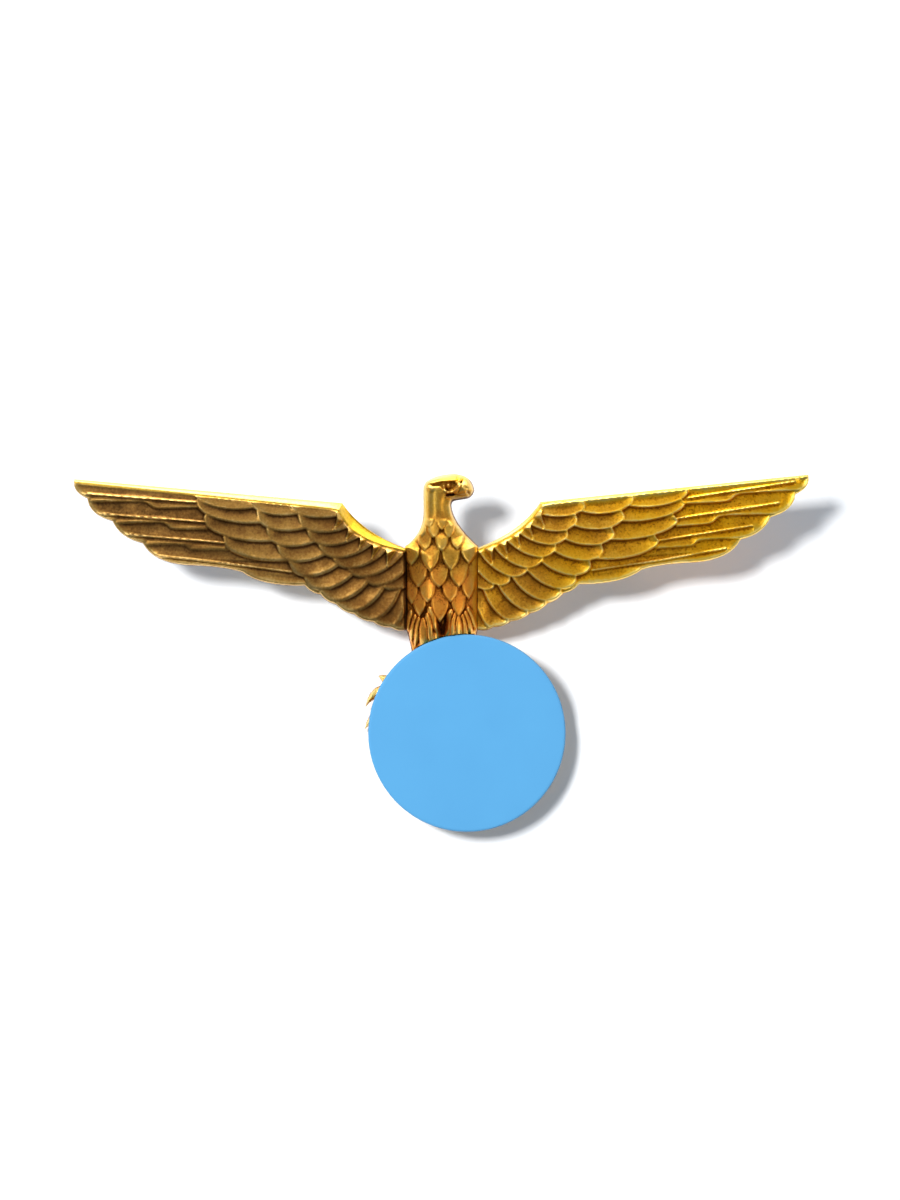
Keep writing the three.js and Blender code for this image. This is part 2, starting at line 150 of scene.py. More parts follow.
class Relief:
    """A height field, in front of the castings' rear plane, over the outline of one CAD node.

    depth is the distance inside the whole outline, and free_depth leaves out the joints, which are the walls
    at the given places on X where the casting meets its neighbour. The darkening field makes a place darker,
    or brighter where it is negative, and holds painted shade and painted light besides tarnish. The
    bright-metal field says how bare and bright the metal is, and holds painted highlights besides rubbed
    edges.
    """

    # How far round it a small and a large form are compared with, and how high each of them stands.
    FINE_REACH, FINE_HEIGHT = 0.16, 0.085
    BROAD_REACH, BROAD_HEIGHT = 0.6, 0.30

    def __init__(self, node, step, joints=()):
        low, high = box_mm(node)
        self.step = step
        self.joints = joints
        margin = 3 * step
        xs = np.arange(low[0] - margin, high[0] + margin + step, step)
        zs = np.arange(low[2] - margin, high[2] + margin + step, step)
        self.x, self.z = np.meshgrid(xs, zs)
        self.read_outline(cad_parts[node].data, joints)
        self.height = np.zeros(self.x.shape)
        self.polish_and_highlight = np.zeros(self.x.shape)
        self.patina_and_shading = np.zeros(self.x.shape)

    def read_outline(self, mesh, joints):
        """Finds the distances from the node's outline as seen from the front, negative outside it."""
        tree = BVHTree.FromPolygons([v.co for v in mesh.vertices], [p.vertices for p in mesh.polygons])

        def covered(x, z):
            return tree.ray_cast(Vector((x * MM, -0.1, z * MM)), Vector((0, 1, 0)))[0] is not None

        walls = []
        for wall in mesh.polygons:
            if abs(wall.normal.y) > 1e-3:
                continue
            corners = np.array([mesh.vertices[i].co.xz for i in wall.vertices]) / MM
            spans = [(np.hypot(*(a - b)), tuple(a), tuple(b)) for a in corners for b in corners]
            _, a, b = max(spans)
            mid = (np.array(a) + b) / 2
            out = np.array([wall.normal.x, wall.normal.z]) * 0.02
            if covered(*(mid - out)) and not covered(*(mid + out)):
                walls.append((a, b))
        hit = [covered(x, z) for x, z in zip(self.x.ravel(), self.z.ravel())]
        side = np.where(np.reshape(hit, self.x.shape), 1, -1)

        def is_free(a, b):
            return all(abs(a[0] - x) + abs(b[0] - x) > 2 * NEAR_JOINT for x in joints)

        free = [(a, b) for a, b in walls if is_free(a, b)]
        near = distance(self.x, self.z, *zip(*walls))
        free_near = distance(self.x, self.z, *zip(*free))
        self.depth = side * near
        self.free_depth = np.where(free_near > near + 1e-6, free_near, side * free_near)

    def window(self, polygon, margin=0.1):
        """The part of the grid round a polygon."""
        polygon = np.asarray(polygon)
        (x0, z0), (x1, z1) = polygon.min(axis=0) - margin, polygon.max(axis=0) + margin
        columns = np.flatnonzero((self.x[0] >= x0) & (self.x[0] <= x1))
        rows = np.flatnonzero((self.z[:, 0] >= z0) & (self.z[:, 0] <= z1))
        if not len(columns) or not len(rows):
            return None
        return slice(rows[0], rows[-1] + 1), slice(columns[0], columns[-1] + 1)

    def lay(self, polygon, height_at):
        """Lays a shape over what is there: inside the polygon, the height is height_at(window).

        The shape's outline is blended in over one cell.
        """
        part = self.window(polygon)
        if part is None:
            return
        x, z = self.x[part], self.z[part]
        off = from_outline(x, z, polygon)
        side = np.where(inside_polygon(x, z, polygon), 1, -1)
        cover = np.clip(0.5 + side * off / self.step, 0, 1)
        self.height[part] += (height_at(part) - self.height[part]) * cover

    def ridge(self, line, height, width):
        """Adds a soft ridge along a line, or a groove where height is negative."""
        line = np.asarray(line, float)
        part = self.window(line, 3 * width)
        if part is None:
            return
        off = from_line(self.x[part], self.z[part], line)
        self.height[part] += height * np.exp(-((off / width) ** 2))

    def smooth(self, sigma_mm):
        self.height = blurred(self.height, sigma_mm / self.step)

    def round_edge(self, edge_height, radius):
        """Rounds the relief over to edge_height along the free part of the outline."""
        rounding = quarter_round(self.free_depth, radius)
        self.height = edge_height + (self.height - edge_height) * rounding

    def wear_and_shading(self):
        """About -1 in the recesses, where tarnish gathers, and +1 on the edges that polishing reaches. It
        also takes in the relief's darkening field, with its painted light and shade, and a painted shade
        along the free outline.
        """
        fine = self.height - blurred(self.height, self.FINE_REACH / self.step)
        broad = self.height - blurred(self.height, self.BROAD_REACH / self.step)
        rubbed_and_shaded = fine / self.FINE_HEIGHT * 0.7 + broad / self.BROAD_HEIGHT * 0.55 - self.patina_and_shading
        # Painted shade: darker along the free outline, where the edge turns away from the light.
        rubbed_and_shaded -= 0.5 * np.exp(-((self.free_depth / 0.13) ** 2))
        for joint in self.joints:
            grime = 0.05 if joint > 0 else 1.0
            rubbed_and_shaded -= grime * np.exp(-(((self.x - joint) / 0.09) ** 2))
        return np.clip(rubbed_and_shaded, -1, 1)


# ---- Meshes ----------------------------------------------------------------

def new_mesh(vertices, faces):
    """A mesh in metres from vertices in millimetres."""
    mesh = bpy.data.meshes.new("mesh")
    mesh.from_pydata((np.asarray(vertices, float) * MM).tolist(), [], faces)
    return mesh


def new_object(name, mesh, material, sharp=35):
    """An object of that mesh and material, smooth but for the edges sharper than that angle."""
    mesh.name = name
    mesh.polygons.foreach_set("use_smooth", [True] * len(mesh.polygons))
    mesh.set_sharp_from_angle(angle=math.radians(sharp))
    mesh.materials.clear()
    mesh.materials.append(material)
    piece = bpy.data.objects.new(name, mesh)
    bpy.context.scene.collection.objects.link(piece)
    return piece


def finish_piece(piece, node, body=ROOT):
    """Attaches the piece to the body it moves with, and hides the CAD node that it stands for."""
    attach(piece, body)
    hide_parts(node)


def snapped(relief, used, closing):
    """X and Z of the used grid points, those outside the outline moved onto it, and the joints closed."""
    slope_z, slope_x = np.gradient(relief.depth, relief.step)
    steep = np.maximum(np.hypot(slope_x, slope_z), 0.5)
    snap = np.where(relief.depth < 0, -relief.depth, 0) / steep**2
    x = (relief.x + snap * slope_x)[used]
    z = (relief.z + snap * slope_z)[used]
    for joint in relief.joints:
        x = np.where(np.abs(x - joint) < NEAR_JOINT, x + closing, x)
    return x, z


def rim_walls(cells, corners, count):
    """The quads round the cells that join the front to the back, whose vertices come count later."""
    walls = []
    padded = np.pad(cells, 1)
    beyond = [padded[:-2, 1:-1], padded[1:-1, 2:], padded[2:, 1:-1], padded[1:-1, :-2]]
    for k, neighbour in enumerate(beyond):
        rim = cells & ~neighbour
        a, b = corners[k][rim], corners[(k + 1) % 4][rim]
        walls.append(np.column_stack([b, a, a + count, b + count]))
    return walls


def casting(name, relief, back, material, closing=0.0):
    """Closes a height field into a shell: its front, its back and the wall between them at the outline.

    closing is how far along X the walls at the joints reach out to meet the neighbour.
    """
    kept = relief.depth > 0
    cells = kept[:-1, :-1] | kept[1:, :-1] | kept[:-1, 1:] | kept[1:, 1:]
    used = np.zeros(kept.shape, bool)
    for rows in (slice(None, -1), slice(1, None)):
        for columns in (slice(None, -1), slice(1, None)):
            used[rows, columns] |= cells
    x, z = snapped(relief, used, closing)
    front = np.column_stack([x, REAR - relief.height[used], z])
    rear = np.column_stack([x, REAR - back[used], z])
    count = used.sum()
    index = np.full(used.shape, -1)
    index[used] = np.arange(count)
    corners = [index[:-1, :-1], index[:-1, 1:], index[1:, 1:], index[1:, :-1]]
    quads = np.column_stack([c[cells] for c in corners])
    faces = np.vstack([quads, quads[:, ::-1] + count, *rim_walls(cells, corners, count)])
    piece = new_object(name, new_mesh(np.vstack([front, rear]), faces.tolist()), material, sharp=50)
    for label, field, behind in (("wear_and_shading", relief.wear_and_shading(), -0.35), ("polish_and_highlight", relief.polish_and_highlight, 0.0)):
        values = np.append(field[used], np.full(count, behind))
        attribute = piece.data.attributes.new(label, "FLOAT", "POINT")
        attribute.data.foreach_set("value", values.astype(np.float32))
    return piece


def off_strap(x, z):
    """How far each grid point is outside the back strap, an arc with round ends that fills its node's box."""
    low, high = box_mm("back_strap")
    half_width = -low[2]
    end_x, end_z = high[0] - half_width, high[2] - half_width
    bend = (end_x**2 + end_z**2) / (2 * end_z)
    off_arc = np.abs(np.hypot(x, z - bend) - bend)
    off_end = np.hypot(np.abs(x) - end_x, z - end_z)
    return np.where(np.abs(x) > end_x, off_end, off_arc) - half_width


def hollow_back(relief, wall=0.7, rim=0.55):
    """Height of a back that follows the front a wall's thickness behind it, but for a flat rim and the strap.

    Round the strap the hollow is left out, and under it the casting is cut back so that the strap is seated.
    """
    soft = blurred(relief.height, 0.5 / relief.step) - wall
    back = np.clip(soft, 0, None) * smoothstep(relief.depth, rim, rim + 0.5)
    low, high = box_mm("back_strap")
    seat = high[1] - low[1] + SEAT_GAP
    off = off_strap(relief.x, relief.z)
    pad = smoothstep(off, 0.6, 0.5)
    return back * (1 - pad) + seat * smoothstep(off, 0.06, 0.02)


# ---- Materials -------------------------------------------------------------

def add_node(tree, kind, inputs=None, **settings):
    """A shader node with its settings; an input is a constant or another node's output socket."""
    node = tree.nodes.new(kind)
    for key, value in settings.items():
        setattr(node, key, value)
    for key, value in (inputs or {}).items():
        if isinstance(value, bpy.types.NodeSocket):
            tree.links.new(value, node.inputs[key])
        else:
            node.inputs[key].default_value = value
    return node


def new_material(name):
    material = bpy.data.materials.new(name)
    material.use_nodes = True
    return material, material.node_tree, material.node_tree.nodes["Principled BSDF"]


def colour_ramp(tree, factor, stops):
    node = add_node(tree, "ShaderNodeValToRGB", {"Fac": factor})
    elements = node.color_ramp.elements
    while len(elements) < len(stops):
        elements.new(0.5)
    for element, (position, colour) in zip(elements, stops):
        element.position = position
        element.color = (*colour, 1)
    return node.outputs["Color"]


def noise(tree, scale, detail=4.0, stretch=None):
    """Noise in object space, scale in features per metre."""
    vector = add_node(tree, "ShaderNodeTexCoord").outputs["Object"]
    if stretch:
        vector = add_node(tree, "ShaderNodeMapping", {"Vector": vector, "Scale": stretch}).outputs["Vector"]
    inputs = {"Vector": vector, "Scale": scale, "Detail": detail}
    return add_node(tree, "ShaderNodeTexNoise", inputs).outputs["Fac"]


def math_node(tree, operation, *values):
    node = add_node(tree, "ShaderNodeMath", operation=operation)
    for socket, value in zip(node.inputs, values):
        if isinstance(value, bpy.types.NodeSocket):
            tree.links.new(value, socket)
        else:
            socket.default_value = value
    return node.outputs[0]


def map_range(tree, value, low, high, to_low, to_high):
    inputs = {"Value": value, "From Min": low, "From Max": high, "To Min": to_low, "To Max": to_high}
    return add_node(tree, "ShaderNodeMapRange", inputs).outputs["Result"]


def mixed(tree, factor, first, second):
    """The mix of two colours; a Mix node's factor and colours are its inputs 0, 6 and 7, and its output 2."""
    node = add_node(tree, "ShaderNodeMix", {0: factor, 6: first, 7: second}, data_type="RGBA")
    return node.outputs[2]


def add_bump(tree, shader, height, strength, distance):
    """Bumps the surface by a height, distance in metres."""
    bump = add_node(tree, "ShaderNodeBump", {"Strength": strength, "Distance": distance, "Height": height})
    tree.links.new(bump.outputs["Normal"], shader.inputs["Normal"])


def shade_and_patina_level(tree, mottle, speckle, pitting):
    """How bright the tarnish is, with the painted shade and light in it, about 0 in the darkest recess and 1
    on the most rubbed edge.
    """
    wear_and_shading = add_node(tree, "ShaderNodeAttribute", attribute_name="wear_and_shading").outputs["Fac"]
    level = math_node(tree, "MULTIPLY_ADD", wear_and_shading, 0.42, 0.5)
    level = math_node(tree, "MULTIPLY_ADD", map_range(tree, mottle, 0.3, 0.7, -0.5, 0.5), 0.22, level)
    level = math_node(tree, "MULTIPLY_ADD", map_range(tree, speckle, 0.3, 0.7, -0.5, 0.5), 0.2, level)
    pits = map_range(tree, noise(tree, 4600, 3), 0.54, 0.64, 0, -pitting)
    pits = math_node(tree, "MULTIPLY", pits, map_range(tree, wear_and_shading, -0.3, 0.5, 1, 0.1))
    return math_node(tree, "ADD", level, pits)


def drifting_shades(tree, level, shades, far_shades, axis, start, end):
    """The colour for a level of tarnish and painted shade, from shades up to start and from far_shades beyond
    end.
    """
    places = (0.0, 0.28, 0.5, 0.72, 1.0)
    near = colour_ramp(tree, level, list(zip(places, shades)))
    far = colour_ramp(tree, level, list(zip(places, far_shades)))
    place = add_node(tree, "ShaderNodeTexCoord").outputs["Object"]
    place = add_node(tree, "ShaderNodeSeparateXYZ", {"Vector": place}).outputs[axis]
    place = map_range(tree, place, start * MM, end * MM, 0, 1)
    patches = math_node(tree, "ADD", place, map_range(tree, noise(tree, 260, 3), 0.35, 0.65, -0.35, 0.35))
    return mixed(tree, map_range(tree, patches, 0, 1, 0, 1), near, far)


def struck_brass(name, shades, far_shades, axis, start, end, pitting):
    """Antique brass: dark tarnish and painted shade in the recesses, polished edges and painted highlights,
    in shades that drift along an axis.

    shades hold up to start, in millimetres, and far_shades from end on, with mottled patches between them.
    pitting is how much darker the small pits in the recesses are.
    """
    material, tree, shader = new_material(name)
    mottle = noise(tree, 900, 6)
    speckle = noise(tree, 4800, 3)
    level = shade_and_patina_level(tree, mottle, speckle, pitting)
    patina_and_shade_colour = drifting_shades(tree, level, shades, far_shades, axis, start, end)
    # Bright bare brass over the rubbed edges and over the painted highlights.
    polish_and_highlight = add_node(tree, "ShaderNodeAttribute", attribute_name="polish_and_highlight").outputs["Fac"]
    polished = colour_ramp(tree, polish_and_highlight, [(0.45, (0.98, 0.60, 0.03)), (0.9, (1.0, 0.78, 0.30))])
    cover = map_range(tree, polish_and_highlight, 0.0, 0.5, 0, 1)
    cover = math_node(tree, "MULTIPLY", cover, map_range(tree, speckle, 0.3, 0.7, 0.7, 1.0))
    tree.links.new(mixed(tree, cover, patina_and_shade_colour, polished), shader.inputs["Base Color"])
    tree.links.new(map_range(tree, level, 0.1, 0.8, 0.62, 0.30), shader.inputs["Roughness"])
    shader.inputs["Metallic"].default_value = 1.0
    grain = math_node(tree, "MULTIPLY_ADD", noise(tree, 11000, 3), 0.7, mottle)
    add_bump(tree, shader, grain, strength=0.35, distance=0.00006)
    return material


def fitting_brass(name, shades, stretch):
    """Turned or rolled satin brass: fine scratches one way, patches of tarnish."""
    material, tree, shader = new_material(name)
    tarnish = noise(tree, 450, 6)
    scratches = noise(tree, 9000, 2, stretch)
    level = math_node(tree, "MULTIPLY_ADD", scratches, 0.35, math_node(tree, "MULTIPLY", tarnish, 0.75))
    colour = colour_ramp(tree, level, list(zip((0.3, 0.5, 0.7), shades)))
    tree.links.new(colour, shader.inputs["Base Color"])
    tree.links.new(map_range(tree, level, 0.35, 0.7, 0.5, 0.28), shader.inputs["Roughness"])
    shader.inputs["Metallic"].default_value = 1.0
    add_bump(tree, shader, scratches, strength=0.2, distance=0.00002)
    return material


def enamel():
    """Opaque light-blue vitreous enamel, faintly uneven under a soft gloss."""
    material, tree, shader = new_material("blue_enamel")
    clouds = noise(tree, 160, 3)
    colour = colour_ramp(tree, clouds, [(0.3, (0.090, 0.332, 0.612)), (0.7, (0.095, 0.348, 0.632))])
    tree.links.new(colour, shader.inputs["Base Color"])
    tree.links.new(map_range(tree, noise(tree, 900, 4), 0.3, 0.7, 0.42, 0.5), shader.inputs["Roughness"])
    shader.inputs["Specular IOR Level"].default_value = 0.25
    add_bump(tree, shader, noise(tree, 500, 2), strength=0.1, distance=0.00005)
    return material


# ---- Wings -----------------------------------------------------------------

WING_STEP = 0.066
WING_BASE = 1.2
LEADING_EDGE = [(33.3, 9.3), (8.9, 6.95)]
SHOULDER = [(8.9, 6.95), (7.75, 5.45), (6.35, 4.28), (4.95, 3.52), (3.31, 2.9)]

# Coverts and secondaries, in three columns from the tip inwards: where the feathers' tips are and where their
# free lower edges start, from the leading edge down, and how far those edges sag. A list shorter than count
# is a curve along which they are spread evenly. outward is how much further out the left wing's tips are.
COLUMNS = [
    {
        "tips": [(22.1, 7.75), (21.8, 6.65), (21.15, 5.15), (19.45, 3.35)],
        "starts": [(17.1, 6.44), (16.4, 5.1), (15.5, 3.45), (14.3, 1.75)],
        "count": 4, "sag": [0.67, 0.62, 0.64, 0.65], "outward": 0.0,
    },
    {
        "tips": [(17.25, 7.25), (15.58, 4.2), (13.5, 1.25), (11.2, -0.8), (8.7, -2.65), (4.2, -4.35)],
        "starts": [(12.9, 5.9), (11.2, 3.4), (8.95, 1.43), (6.5, -0.1), (4.4, -0.95), (3.3, -2.9),
                   (3.1, -4.4)],
        "count": 11, "sag": [0.77, 0.86, 1.08, 1.2, 1.08], "outward": 0.1,
    },
    {
        "tips": [(12.9, 6.55), (12.2, 5.4), (11.35, 4.05), (10.25, 2.7), (9.05, 1.7), (7.65, 0.7),
                 (6.15, -0.1), (4.7, -0.6)],
        "starts": [(9.0, 5.75), (8.2, 4.75), (7.15, 3.95), (5.9, 3.4), (4.75, 2.75), (3.5, 2.2),
                   (3.3, 0.6), (3.1, -0.7)],
        "count": 8, "sag": [0.63, 0.93, 1.0, 1.05, 1.1, 1.0, 0.72, 0.3], "outward": 0.6,
    },
]

# Primaries, from the leading edge down: the ridge of the shaft, and the stepped free edge.
PRIMARIES = [
    {"shaft": [(31.6, 8.25), (22.0, 7.15)],
     "edge": [(34.0, 7.5), (31.8, 7.45), (27.0, 7.35), (26.2, 7.1), (25.4, 6.68), (21.8, 6.6)]},
    {"shaft": [(30.2, 6.4), (21.0, 5.33)],
     "edge": [(31.5, 5.4), (29.5, 5.4), (25.3, 5.43), (24.5, 5.1), (23.9, 4.75), (21.0, 4.6)]},
    {"shaft": [(27.8, 4.46), (19.35, 3.42)],
     "edge": [(29.0, 3.4), (26.9, 3.4), (23.3, 3.32), (22.7, 3.05), (22.2, 2.83), (19.1, 2.7)]},
    {"shaft": [(25.4, 2.5), (13.45, 0.8)], "edge": [(27.5, -0.5), (12.0, -1.5)]},
]

# Teeth of down below the shoulder: the top of each one's steep side, and its point.
TEETH = [
    ((8.97, 5.6), (9.2, 4.62)), ((8.0, 4.6), (8.2, 3.58)), ((6.92, 3.95), (7.0, 2.9)),
    ((5.76, 3.2), (5.88, 1.95)), ((4.6, 2.6), (4.52, 1.32)),
]


def bezier(a, b, c, d, count=14):
    t = np.linspace(0, 1, count)[:, None]
    return (1 - t) ** 3 * a + 3 * (1 - t) ** 2 * t * b + 3 * (1 - t) * t**2 * c + t**3 * d


def spread(points, count):
    return np.array(points, float) if len(points) == count else curve(points, count)


def feather(start, tip, sag, cover, pointed):
    """A feather's free lower edge, and the polygon that it covers up to the feather above.

    The edge of a pointed one turns back at the tip, and that of a blunt one runs on under the feather above.
    """
    length = np.hypot(*(tip - start))
    along = (tip - start) / length
    out = np.array([along[1], -along[0]])
    first = start + 0.35 * length * along + 1.2 * sag * out
    last = tip - 0.1 * length * along + 1.35 * sag * out
    hidden = start - (first - start) / np.hypot(*(first - start))
    if pointed:
        past = tip - 0.5 * out - 0.15 * along
    else:
        past = tip + 0.6 * (tip - last) / np.hypot(*(tip - last))
    edge = np.vstack([hidden, bezier(start, first, last, tip), past])
    top = [past - 0.3 * cover * out - 0.3 * along, start - cover * out - along]
    return edge, np.vstack([edge, top])


def leaf(centre, width, length, turn=0.0):
    """A small feather: round above and pointed below, turned about its centre."""
    upper = [(width / 2 * math.sqrt(1 - u * u), 0.42 * length * u) for u in np.linspace(1, 0, 9)]
    lower = [(width / 2 * (1 - v * v), -0.58 * length * v) for v in np.linspace(0, 1, 9)[1:]]
    right = upper + lower
    points = np.array(right + [(-x, z) for x, z in right[-2:0:-1]])
    c, s = math.cos(turn), math.sin(turn)
    return np.asarray(centre) + points @ np.array([[c, s], [-s, c]])


def lay_pillow(relief, polygon, base, height, rounding):
    """A small feather like a pillow on the base surface."""
    def height_at(part):
        off = from_outline(relief.x[part], relief.z[part], polygon)
        return base[part] + height * quarter_round(off, rounding)

    relief.lay(polygon, height_at)


def placed(points, side, leaning=False):
    """Points of the right wing on the wing of that side.

    The primaries are leaning: they point a little further up on the right wing and down on the left one.
    """
    points = np.array(points, float)
    if leaning:
        points[:, 1] += 0.03 * side * np.maximum(points[:, 0] - 20, 0)
    return points * (side, 1)


def lay_vane(relief, polygon, edge, base, side, slope, reach):
    """A vane that rises to its free edge, which has a fine lip, or on the left wing is rounded over."""
    lip, rounded = (0.11, 0.0) if side > 0 else (0.03, 0.16)

    def height_at(part):
        off = from_line(relief.x[part], relief.z[part], edge)
        off = np.minimum(off, np.maximum(relief.free_depth[part], 0))
        rise = slope * (1 - smoothstep(off, 0, reach))
        finish = lip * np.exp(-((off / 0.13) ** 2)) + rounded * (quarter_round(off, 0.4) - 1)
        return base[part] - 0.1 + rise + finish

    relief.lay(polygon, height_at)


def lay_primaries(relief, base, side):
    for primary in reversed(PRIMARIES):
        edge = placed(curve(primary["edge"], 30), side, leaning=True)
        above = [edge[-1] + (-2 * side, 3), edge[0] + (2 * side, 3)]
        lay_vane(relief, np.vstack([edge, above]), edge, base, side, slope=0.22, reach=0.9)
        shaft = placed(curve(primary["shaft"], 12), side, leaning=True)
        relief.ridge(shaft, 0.12, 0.4)
        relief.ridge(shaft, 0.2, 0.075)
        relief.ridge(shaft - (0, 0.2), -0.1, 0.1)


def lay_coverts(relief, base, side):
    for column in COLUMNS:
        count = column["count"]
        tips = spread(column["tips"], count)
        starts = spread(column["starts"], count)
        sags = np.interp(np.linspace(0, 1, count), np.linspace(0, 1, len(column["sag"])), column["sag"])
        if side < 0:
            tips[:, 0] += column["outward"]
        for tip, start, sag in reversed(list(zip(tips, starts, sags))):
            edge, polygon = feather(start, tip, sag, cover=2.9, pointed=side > 0)
            lay_vane(relief, placed(polygon, side), placed(edge, side), base, side, slope=0.33, reach=1.5)


def lay_teeth(relief, base, side):
    """The teeth: each a facet that rises from its slanting side to its steep one."""
    width, height = 0.85, 0.5
    shift = (0.35 if side < 0 else 0.0, 0)
    for top, point in TEETH:
        top, point = np.array(top) + shift, np.array(point) + shift
        inner = top - (width, 0)
        slant = placed([inner + (0, 0.4), inner, point], side)
        wedge = np.vstack([slant, placed([top, top + (0, 0.5)], side)])

        def facet(part):
            off = from_line(relief.x[part], relief.z[part], slant)
            return base[part] + 0.08 + height * np.clip(off / 0.55, 0, 1)

        relief.lay(wedge, facet)
        relief.ridge(placed([top, point], side), 0.14, 0.08)
        # Painted highlight on each tooth's facet.
        inside = inside_polygon(relief.x, relief.z, wedge)
        relief.polish_and_highlight = np.maximum(relief.polish_and_highlight, 0.1 * inside)


def bevel_leading_edge(relief, base, side, bevel, polish_and_highlight):
    """Slopes the wing off along its leading edge, and polishes that slope, which is partly a painted
    highlight.
    """
    span = side * relief.x
    leading = np.array(LEADING_EDGE + curve(SHOULDER, 16).tolist())
    off = from_line(span, relief.z, leading)
    widths = np.interp(span, [3.3, 8, 10, 33], bevel)
    crest = WING_BASE + 0.12 + 1.05 * (off - widths)
    # The bevel's bright metal: rubbed bare, and a painted highlight where it faces the light above.
    rim = np.interp(span, [7, 10], polish_and_highlight) * smoothstep(off, widths + 0.1, widths - 0.1)
    relief.polish_and_highlight = np.maximum(relief.polish_and_highlight, rim)
    clear = np.interp(span, [8, 10], [0.25, 0.12])
    relief.height = base + (relief.height - base) * smoothstep(off, widths, widths + clear)
    relief.height = np.where(off < 1.5, np.minimum(relief.height, crest), relief.height)


def wing(node, material, bevel, polish_and_highlight):
    """A wing.

    bevel has the widths of the bevel on its leading edge, from the root to the tip, and the last argument has
    how polished that bevel is below the shoulder and beyond it, partly as a painted highlight.
    """
    low, high = box_mm(node)
    side = 1 if high[0] > 0 else -1
    relief = Relief(node, WING_STEP, joints=[side * WING_ROOT])
    base = WING_BASE + 0.2 * smoothstep(relief.free_depth, 0, 2.5)
    relief.height = base.copy()
    lay_primaries(relief, base, side)
    lay_coverts(relief, base, side)
    lay_teeth(relief, base, side)
    relief.smooth(0.05)
    bevel_leading_edge(relief, base, side, bevel, polish_and_highlight)
    if side < 0:
        relief.ridge([(-WING_ROOT, JOINT_TOP), (-WING_ROOT, low[2])], -0.15, 0.1)
        # Lighter across the middle of the left wing.
        relief.patina_and_shading = -0.25 * np.exp(-(((-relief.x - 14) / 5) ** 2))
    relief.round_edge(0.5, 0.16)
    return casting(node + "_struck", relief, hollow_back(relief), material, closing=-side * JOINT_GAP)


# ---- Body ------------------------------------------------------------------

BODY_STEP = 0.05

# Breast feathers, row by row from the neck down: X and Z of the widest place, width, and length below it.
SCALES = [
    (-1.16, 5.2, 1.0, 0.55), (0.01, 5.15, 0.9, 0.76), (0.92, 5.05, 0.8, 0.5),
    (-1.82, 4.5, 0.95, 0.7), (-0.73, 4.6, 1.15, 0.92), (0.66, 4.6, 1.02, 0.88),
    (-1.52, 3.72, 1.3, 1.14), (0.0, 3.55, 1.2, 1.06), (1.4, 3.68, 1.2, 1.02),
    (-2.73, 2.6, 1.5, 1.32), (-1.02, 2.35, 1.72, 1.6), (0.82, 2.35, 1.66, 1.56), (2.42, 2.75, 1.5, 1.34),
    (-2.1, 0.82, 1.6, 1.48), (-0.27, 0.62, 1.66, 1.36), (1.5, 0.82, 1.7, 1.52),
    (-2.72, -0.7, 1.15, 1.5), (-1.27, -0.74, 1.42, 1.3), (0.75, -0.74, 1.46, 1.3), (2.36, -0.4, 1.25, 1.36),
    (-2.02, -1.8, 1.26, 1.46), (-0.18, -1.74, 1.7, 2.08), (1.46, -1.74, 1.36, 1.6),
]

# The long feathers of the thighs: the middle, width, length and lean of each.
THIGHS = [
    (-2.95, -3.6, 0.62, 2.4, -0.2), (-0.84, -3.35, 0.85, 2.6, 0.3), (-2.58, -4.1, 0.66, 2.7, -0.17),
    (-1.2, -4.1, 0.75, 3.0, 0.12), (-2.22, -4.4, 0.66, 2.9, -0.13), (-1.7, -4.7, 0.86, 3.4, 0.0),
    (2.62, -3.3, 0.65, 2.4, 0.36), (0.6, -3.65, 0.85, 2.7, -0.24), (2.32, -3.75, 0.66, 2.6, 0.26),
    (1.04, -4.0, 0.7, 2.8, -0.12), (1.96, -4.1, 0.66, 2.7, 0.15), (1.5, -4.3, 0.74, 2.9, 0.02),
]


# The head, in profile to the right: the outline of the eye's socket, and the points, height and width of each
# ridge or groove.
SOCKET = [
    (-1.05, 8.5), (0.1, 8.72), (1.2, 8.77), (1.45, 8.55), (1.05, 8.1), (0.5, 7.93), (0.12, 8.1),
    (-0.1, 8.38), (-0.6, 8.36),
]
HEAD_LINES = {
    "beak": ([(1.7, 8.15), (2.3, 8.05)], 0.22, 0.42),
    "brow": ([(-1.15, 8.64), (0.1, 8.88), (1.35, 8.94)], 0.18, 0.12),
    "behind the eye": ([(-1.3, 8.3), (-0.9, 8.12)], 0.16, 0.2),
    "eye": ([(0.63, 8.47), (0.66, 8.33)], 0.4, 0.13),
    "cheek": ([(0.2, 8.42), (0.3, 8.0), (0.55, 7.8), (1.0, 7.85), (1.44, 8.11), (1.76, 8.55)], 0.24, 0.08),
    "rear of the cere": ([(1.46, 9.2), (1.4, 8.85)], -0.3, 0.08),
    "front of the cere": ([(2.0, 9.12), (1.76, 8.7)], -0.34, 0.08),
    "cere": ([(1.62, 9.2), (1.56, 8.8)], 0.12, 0.07),
    "root of the beak": ([(1.75, 8.7), (1.72, 8.2), (1.5, 7.8)], -0.14, 0.08),
    "nostril": ([(2.1, 8.3), (2.3, 8.15)], -0.2, 0.09),
    "corner of the mouth": ([(0.5, 7.55), (1.06, 7.62)], -0.38, 0.08),
    "mouth": ([(1.06, 7.62), (1.8, 7.52), (2.35, 7.64)], -0.16, 0.06),
    "jaw": ([(0.45, 7.38), (1.05, 7.46)], 0.16, 0.08),
    "under the hook": ([(2.36, 7.86), (2.5, 7.66)], -0.45, 0.11),
    "throat": ([(0.75, 7.0), (0.8, 5.7)], 0.14, 0.16),
}


